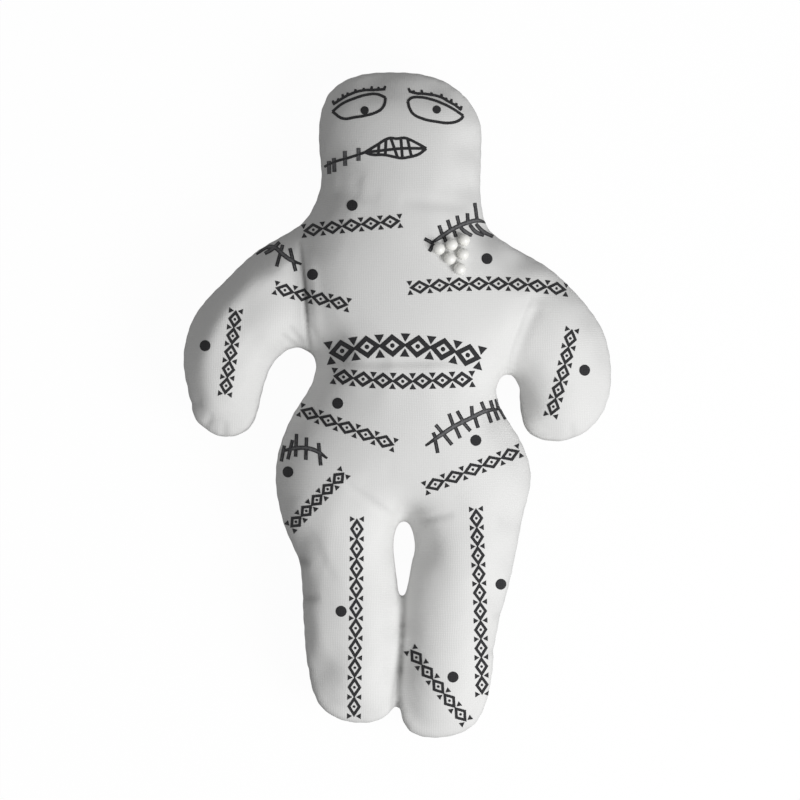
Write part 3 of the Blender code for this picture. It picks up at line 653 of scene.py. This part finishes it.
def draw_stroke(flat_points, width, taper=1.0, dark=(0.0, 1.0)):
    """One stroke of ink, pressed flat to the film's height; dark is for its middle and for its edges."""
    curve = bpy.data.curves.new("stroke", "CURVE")
    curve.dimensions = "3D"
    curve.bevel_depth = width / 2
    curve.bevel_resolution = 2
    curve.use_fill_caps = True
    spline = curve.splines.new("BEZIER")
    spline.bezier_points.add(len(flat_points) - 1)
    for knot, point in zip(spline.bezier_points, flat_points):
        knot.co = (*point[:2], 0)
        knot.handle_left_type = knot.handle_right_type = "AUTO"
    spline.bezier_points[0].radius = spline.bezier_points[-1].radius = taper
    length = sum(math.dist(a[:2], b[:2]) for a, b in zip(flat_points, flat_points[1:]))
    curve.resolution_u = max(2, math.ceil(length / INK_STEP / max(1, len(flat_points) - 1)))
    stroke = add_piece("stroke", curve)
    only(stroke)
    bpy.ops.object.convert(target="MESH")
    heights = np.abs(read_points(stroke.data)[:, 2])
    add_attribute(stroke.data, "across", np.interp(2 * heights / width, (0, 1), dark[::-1]))
    stroke.data.transform(Matrix.Diagonal((1, 1, 2 * INK_FILM / width, 1)))
    return stroke


def draw_disc(flat_point, radius):
    """A round spot of ink on the flat: a ball pressed to the film's height."""
    bpy.ops.mesh.primitive_uv_sphere_add(segments=28, ring_count=14, radius=radius, location=(0, 0, 0))
    disc = bpy.context.object
    pressed = Matrix.Diagonal((1, 1, INK_FILM / radius, 1))
    disc.data.transform(Matrix.Translation((*flat_point[:2], 0)) @ pressed)
    return disc


def print_mark(node, shapes, ink=black_ink):
    """Joins a mark's shapes, lays them on the cloth, and puts the mark in its node's place."""
    only(*shapes)
    bpy.ops.object.join()
    mark = bpy.context.object
    mark.name = mark.data.name = "ink_" + node
    lay_on_cloth(mark)
    dress(mark, ink)
    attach(mark, "root")
    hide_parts(node)


def at_share(line, share):
    """The point at a share of a line's corners."""
    place = share * (len(line) - 1)
    return Vector([float(np.interp(place, range(len(line)), [p[k] for p in line])) for k in (0, 1)])


for side in ("left", "right"):
    lids = [draw_stroke([on_cloth(pixel) for pixel in line], EYE_LINE) for line in EYES[side]]
    print_mark("eye_" + side, lids)
    print_mark("pupil_" + side, [draw_disc(on_cloth(PUPILS[side]), PUPIL_RADIUS)])
    brow = [on_cloth(pixel) for pixel in LASH_LINES[side]]
    strokes = [draw_stroke(brow, LASH_LINE)]
    for number, share in enumerate(np.linspace(*LASH_ENDS, LASHES)):
        root = at_share(brow, share)
        lean = (share - 0.5) * LASH_SPREAD
        length = LASH_LENGTH * LASH_VARIETY[number % len(LASH_VARIETY)]
        tip = root + length * Vector((math.sin(lean), math.cos(lean)))
        strokes.append(draw_stroke([root, (root + tip) / 2, tip], LASH_LINE, taper=LASH_TAPER))
    print_mark("lashes_" + side, strokes)
print_mark("mouth", [draw_stroke([on_cloth(pixel) for pixel in line], MOUTH_LINE) for line in LIPS + TEETH])

# Scars
# Each scar is printed in the same ink, thinned to grey: first a healed line, then the stitches across it.
# Their edges are dark. The cheek's healed line is thin and black, and its stitches are paler and wider.
SCAR_LINE, STITCH_LINE = 0.0023, 0.0024
SCAR_TAPER, STITCH_TAPER = 0.5, 0.8
CHEEK_LINE, CHEEK_STITCH = 0.0014, 0.0027
CHEEK_DARK, CHEEK_PALE = (1.0, 1.0), (0.0, 0.4)
SCAR_PATCH = 0.0015
BLOT_SHARE = 0.7
BLOT_GREY, BLOT_DARK = 0.3, 0.8
SCAR_GREY = "#6A6A6C"
SCAR_DARK = "#28282A"
SCARS = {
    "scar_cheek": [[(365, 152.5), (349.7, 157.6), (334.4, 162), (324.5, 166.8)],
                   [(358.7, 148), (358.7, 161)], [(345, 151), (345.4, 166)], [(334, 158), (334.6, 172)],
                   [(329, 161), (329.4, 174)]],
    "scar_neck": [[(431.2, 243), (440.9, 237), (451.8, 229.7), (460.3, 225.4), (468.7, 222.4), (477.2, 220.6),
                   (486.3, 222.4)],
                  [(439, 225.4), (442.6, 235.5)], [(447.5, 220), (451, 230.5)],
                  [(456.9, 215.7), (459.4, 226.2)], [(467.3, 213.3), (467.8, 222.6)],
                  [(474.6, 203), (477, 220.4)], [(424.5, 238.8), (433.6, 243.6)],
                  [(433.6, 243.6), (429.4, 251.5)], [(460.5, 227.5), (466, 232.6), (471.8, 235.7)],
                  [(469.6, 224.7), (475.5, 231.8), (483.9, 235.7)],
                  [(475.8, 224), (483, 231.6), (493, 236.7)],
                  [(444, 237), (446, 242)], [(454, 231), (456, 237)]],
    "scar_shoulder": [[(256.4, 254.4), (269.8, 246.8), (275.9, 248.3), (282, 253.7), (290.4, 259.8),
                       (301.5, 264.4)],
                      [(279.7, 242.2), (272, 249.4), (264.8, 253.7)], [(282.8, 244.9), (276.7, 266.7)],
                      [(290, 248.3), (295.8, 271.3)]],
    "scar_hip_left": [[(281.9, 451.2), (295.7, 448.2), (306.9, 448.2), (317.1, 451.2), (327.3, 458.4)],
                      [(296.7, 433.9), (295.7, 456.8)], [(306.7, 437.4), (305.9, 459.9)],
                      [(318.7, 443.1), (320.9, 465.5)], [(292.7, 440), (288, 459.4)],
                      [(284.5, 445.6), (281.4, 461.4)]],
    "scar_hip_right": [[(425.5, 445.8), (440.8, 435.1), (455.1, 425.9), (471.4, 417.8), (485.7, 411.1),
                        (500, 409.1)],
                       [(433.2, 432.6), (436.4, 439.5)], [(435.7, 424.9), (442.8, 433.4)],
                       [(449, 413.7), (453.8, 426.8)], [(457.1, 411.1), (463.4, 422)],
                       [(471.4, 406), (472.4, 417.2)], [(481.1, 401.9), (485.2, 411.4)],
                       [(490.3, 400.4), (493.2, 410)], [(495.9, 398.9), (498.4, 409)],
                       [(435.2, 440), (437.8, 453)], [(443.6, 434.4), (452, 444.8)],
                       [(455.2, 427), (460.2, 438.2)], [(463.2, 422.6), (470.4, 431)],
                       [(474.6, 417), (478.1, 428)], [(487.4, 411.6), (491.3, 422.9)],
                       [(494.4, 410.2), (498.5, 420.3)], [(500, 409.4), (505.6, 419.3)]],
}


def scar_ink():
    """The same ink let down with water: grey in the middle of a stroke, dark where it dried at the edges."""
    material, shader, place = soaked_ink("thinned_textile_ink", INK_BLACK, INK_WORN)
    across = add_node(material, "Attribute", attribute_name="across")
    uneven = noise(material, place, SCAR_PATCH, detail=3.0)
    edge = add_node(material, "Math", {0: uneven, 1: BLOT_SHARE, 2: across.outputs["Fac"]},
                    operation="MULTIPLY_ADD")
    share = add_node(material, "MapRange", {"Value": edge.outputs[0], "From Min": BLOT_GREY,
                                            "From Max": BLOT_DARK}, interpolation_type="SMOOTHSTEP")
    shade(material, shader, mix_colours(material, share.outputs[0], SCAR_GREY, SCAR_DARK))
    return material


grey_ink = scar_ink()

for node, lines in SCARS.items():
    flat = [[on_cloth(pixel) for pixel in line] for line in lines]
    if node == "scar_cheek":
        strokes = [draw_stroke(flat[0], CHEEK_LINE, dark=CHEEK_DARK)]
        strokes += [draw_stroke(line, CHEEK_STITCH, taper=STITCH_TAPER, dark=CHEEK_PALE) for line in flat[1:]]
    else:
        strokes = [draw_stroke(flat[0], SCAR_LINE, taper=SCAR_TAPER)]
        strokes += [draw_stroke(line, STITCH_LINE, taper=STITCH_TAPER) for line in flat[1:]]
    print_mark(node, strokes, grey_ink)

# Dots
# Eleven round black dots, where a pin is to go, are printed beside the bands and scars.
# They are the face's black ink, each a spot about 6 mm across.
DOT_RADIUS = 0.0029
DOTS = [(352.2, 205.4), (486.9, 258.8), (312.6, 274.5), (205.2, 345.7), (584.6, 370.2), (337.8, 403.3),
        (475.8, 440.4), (288.1, 471.9), (341.2, 611.3), (500.8, 584.2), (453, 677)]

for number, pixel in enumerate(DOTS, 1):
    print_mark("dot_%d" % number, [draw_disc(on_cloth(pixel), DOT_RADIUS)])

# Bands
# Rows of plain diamonds are printed tip to tip, each with an open field and a spot in its middle.
# Small wedges stand in the notches. Each band has a line, a height and a number of diamonds.
SMALL_BAND = 0.0072
TITLE_BAND = 0.0120
SECOND_BAND = 0.0084
RIM_SHARE = 0.40
SPOT_SHARE = 0.20
WEDGE_SHARE = 0.24
BAND_OVERLAP = 0.06
BANDS = {
    "band_neck": ([(304, 231), (352, 225.5), (400, 221)], SMALL_BAND, 5),
    "band_chest_left": ([(276, 288), (312, 297), (348, 305)], SMALL_BAND, 4),
    "band_chest_right": ([(410, 288), (450, 284.5), (490, 283.5), (530, 285), (566, 290)], SMALL_BAND, 8),
    "band_title": ([(330, 353), (366, 347), (404, 345), (442, 349), (480, 358)], TITLE_BAND, 6),
    "band_second": ([(334, 376), (370, 380), (405, 381.5), (440, 380.5), (472, 379)], SECOND_BAND, 7),
    "band_belly_left": ([(301, 410), (348, 428), (394, 445)], SMALL_BAND, 5),
    "band_belly_right": ([(426, 488), (474, 469), (519, 451)], SMALL_BAND, 5),
    "band_thigh_left": ([(291, 527), (318, 499), (344, 473)], SMALL_BAND, 5),
    "band_arm_left": ([(225, 394), (231, 352), (236, 311)], SMALL_BAND, 5),
    "band_arm_right": ([(572, 330), (563, 373), (551, 415)], SMALL_BAND, 5),
    "band_leg_left": ([(354, 716), (356, 618), (357, 519)], SMALL_BAND, 10),
    "band_leg_right": ([(476, 509), (480, 602), (482, 694)], SMALL_BAND, 10),
    "band_foot_right": ([(411, 650), (438, 686), (466, 721)], SMALL_BAND, 5),
}


def thicken(flat, length):
    """Gives a flat mark the film's height, and makes its edges fine enough to bend."""
    only(flat)
    bpy.ops.object.mode_set(mode="EDIT")
    bpy.ops.mesh.select_all(action="SELECT")
    bpy.ops.mesh.extrude_region_move(TRANSFORM_OT_translate={"value": (0, 0, INK_FILM)})
    bpy.ops.mesh.select_all(action="SELECT")
    bpy.ops.mesh.normals_make_consistent(inside=False)
    bpy.ops.object.mode_set(mode="OBJECT")
    net = bmesh.new()
    net.from_mesh(flat.data)
    long_edges = [edge for edge in net.edges if edge.calc_length() > 2 * INK_STEP]
    bmesh.ops.subdivide_edges(net, edges=long_edges, cuts=int(length / 2 / INK_STEP), use_grid_fill=True)
    net.to_mesh(flat.data)
    net.free()
    return flat


def model_diamond(length, height):
    """One diamond on the flat: an open rim, and a spot in its middle."""
    bpy.ops.mesh.primitive_circle_add(vertices=4, radius=0.5, fill_type="NGON", location=(0, 0, 0))
    diamond = bpy.context.object
    diamond.data.transform(Matrix.Diagonal((length, height, 1, 1)))
    bpy.ops.object.mode_set(mode="EDIT")
    bpy.ops.mesh.inset(thickness=height * RIM_SHARE / 2)
    bpy.ops.mesh.delete(type="ONLY_FACE")
    bpy.ops.object.mode_set(mode="OBJECT")
    bpy.ops.mesh.primitive_circle_add(vertices=12, radius=height * SPOT_SHARE / 2, fill_type="NGON",
                                      location=(0, 0, 0))
    spot = bpy.context.object
    only(spot, diamond)
    bpy.ops.object.join()
    return thicken(diamond, length)


def model_wedges(height):
    """The two wedges on the flat that point at a joint of two diamonds from both sides."""
    wedges = []
    for side in (1, -1):
        size = height * WEDGE_SHARE
        bpy.ops.mesh.primitive_circle_add(vertices=3, radius=size, fill_type="NGON", location=(0, 0, 0))
        wedge = bpy.context.object
        place = Matrix.Translation((0, -side * (height / 2 - size / 2), 0))
        wedge.data.transform(place @ Matrix.Diagonal((1, side, 1, 1)))
        wedges.append(wedge)
    only(*wedges)
    bpy.ops.object.join()
    return thicken(bpy.context.object, height)


for node, (pixels, height, count) in BANDS.items():
    line = np.array([on_cloth(pixel)[:2] for pixel in pixels])
    travelled = np.concatenate([[0], np.cumsum(np.linalg.norm(np.diff(line, axis=0), axis=1))])
    pitch = travelled[-1] / count
    diamond = model_diamond(pitch + 2 * BAND_OVERLAP * height, height)
    wedges = model_wedges(height)
    copies = []
    for half in range(2 * count + 1):
        start, middle, end = ([np.interp(place * pitch / 2, travelled, line[:, k]) for k in (0, 1)]
                              for place in (half - 1, half, half + 1))
        turn = math.atan2(end[1] - start[1], end[0] - start[0])
        copy = add_piece("mark", (diamond if half % 2 else wedges).data.copy())
        copy.data.transform(Matrix.Translation((*middle, 0)) @ Matrix.Rotation(turn, 4, "Z"))
        copies.append(copy)
    bpy.data.objects.remove(diamond)
    bpy.data.objects.remove(wedges)
    print_mark(node, copies)

# Pins
# Six pins with white ball heads of moulded plastic stand in the shoulder, pushed in to their heads.
# A ball has a short collar below, where the steel shaft is moulded in.
COLLAR_RADIUS = 0.0009
COLLAR_DEPTH = 0.0006
PEARL_CLOUD = 0.0025
PEARL_DEPTH = 0.00002
RING_SPACING = 0.0006
STEEL_POLISHED, STEEL_GROUND = 0.18, 0.32
PEARL_WHITE = "#F6F6F3"
PEARL_CREAM = "#ECEBE6"
STEEL_BRIGHT = "#C9CBCF"
STEEL_DULL = "#A3A6AB"


def pearl_plastic():
    """Moulded white polystyrene with a soft gloss, a little clouded by its pearl filler."""
    material, shader = new_material("pearl_white_polystyrene", Roughness=0.32, Coat_Weight=0.25,
                                    Coat_Roughness=0.2)
    place = add_node(material, "TexCoord").outputs["Object"]
    clouds = noise(material, place, PEARL_CLOUD)
    colour = mix_colours(material, clouds, PEARL_WHITE, PEARL_CREAM)
    shade(material, shader, colour, clouds, depth=PEARL_DEPTH)
    return material


def drawn_steel():
    """Drawn and polished steel wire, with fine rings from the die and the grinding."""
    material, shader = new_material("drawn_pin_steel", Metallic=1.0)
    place = add_node(material, "TexCoord").outputs["Object"]
    rings = add_node(material, "TexWave", {"Vector": place, "Scale": 1 / RING_SPACING, "Distortion": 2.0},
                     bands_direction="Z")
    rough = add_node(material, "MapRange", {"Value": rings.outputs["Fac"], "To Min": STEEL_POLISHED,
                                            "To Max": STEEL_GROUND})
    material.node_tree.links.new(rough.outputs[0], shader.inputs["Roughness"])
    shade(material, shader, mix_colours(material, rings.outputs["Fac"], STEEL_BRIGHT, STEEL_DULL))
    return material


pearl = pearl_plastic()
steel = drawn_steel()
for number, node in enumerate(PIN_NODES, 1):
    dress(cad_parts["pin_shaft_%d" % number], steel)
    low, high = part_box(node)
    radius = (high.z - low.z) / 2
    bpy.ops.mesh.primitive_uv_sphere_add(segments=40, ring_count=24, radius=radius, location=(0, 0, 0))
    head = bpy.context.object
    head.name = head.data.name = "ball_head_%d" % number
    for vertex in head.data.vertices:
        if vertex.co.z < 0 and math.hypot(vertex.co.x, vertex.co.y) < COLLAR_RADIUS:
            vertex.co.z -= COLLAR_DEPTH
    head.data.transform(Matrix.Translation((low + high) / 2))
    head.data.shade_smooth()
    dress(head, pearl)
    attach(head, "root")
    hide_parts(node)

# Studio
# A pale floor under one wide soft lamp from the doll's left and feet, in a dim even room.
# The camera sees the floor and the room white; the doll gets only their dim light.
FLOOR_SIZE = 8.0
FLOOR_LEVEL = -0.0005
FLOOR_WHITE = "#FFFFFF"
FLOOR_GREY = "#8C8C8C"
FLOOR_GLOW = 0.97
ROOM_LIGHT = 0.30
LAMP_WAY = Vector((0.60, -0.36, 0.72))
LAMP_DISTANCE = 1.8
LAMP_SIZE = 0.9
LAMP_POWER = 26.0


def seen_directly(shaded):
    """1 for rays from the camera, or by way of metal or glass, and 0 for the light that falls on the doll."""
    path = add_node(shaded, "LightPath")
    seen = path.outputs["Is Camera Ray"]
    for way in ("Is Glossy Ray", "Is Transmission Ray"):
        seen = add_node(shaded, "Math", {0: seen, 1: path.outputs[way]}, operation="MAXIMUM").outputs[0]
    return seen


bpy.ops.mesh.primitive_plane_add(size=FLOOR_SIZE, location=(0, 0, FLOOR_LEVEL))
floor = bpy.context.object
floor.name = "floor"
paper, shader = new_material("matt_floor_paper", Roughness=1.0, Specular_IOR_Level=0.0)
seen = seen_directly(paper)
shade(paper, shader, mix_colours(paper, seen, FLOOR_GREY, FLOOR_WHITE))
glow = add_node(paper, "Emission", {"Color": linear(FLOOR_WHITE), "Strength": 1.0})
share = add_node(paper, "Math", {0: seen, 1: FLOOR_GLOW}, operation="MULTIPLY")
mixed = add_node(paper, "MixShader", {0: share.outputs[0], 1: shader.outputs[0], 2: glow.outputs[0]})
paper.node_tree.links.new(mixed.outputs[0], paper.node_tree.nodes["Material Output"].inputs["Surface"])
floor.data.materials.append(paper)

room = bpy.data.worlds.new("dim_room")
scene.world = room
room.use_nodes = True
strength = add_node(room, "MapRange", {"Value": seen_directly(room), "To Min": ROOM_LIGHT, "To Max": 1.0})
background = room.node_tree.nodes["Background"]
background.inputs["Color"].default_value = linear(FLOOR_WHITE)
room.node_tree.links.new(strength.outputs[0], background.inputs["Strength"])

bpy.ops.object.light_add(type="AREA", location=LAMP_WAY.normalized() * LAMP_DISTANCE)
lamp = bpy.context.object
lamp.name = "soft_lamp"
lamp.rotation_euler = LAMP_WAY.to_track_quat("Z", "Y").to_euler()
lamp.data.size = LAMP_SIZE
lamp.data.energy = LAMP_POWER
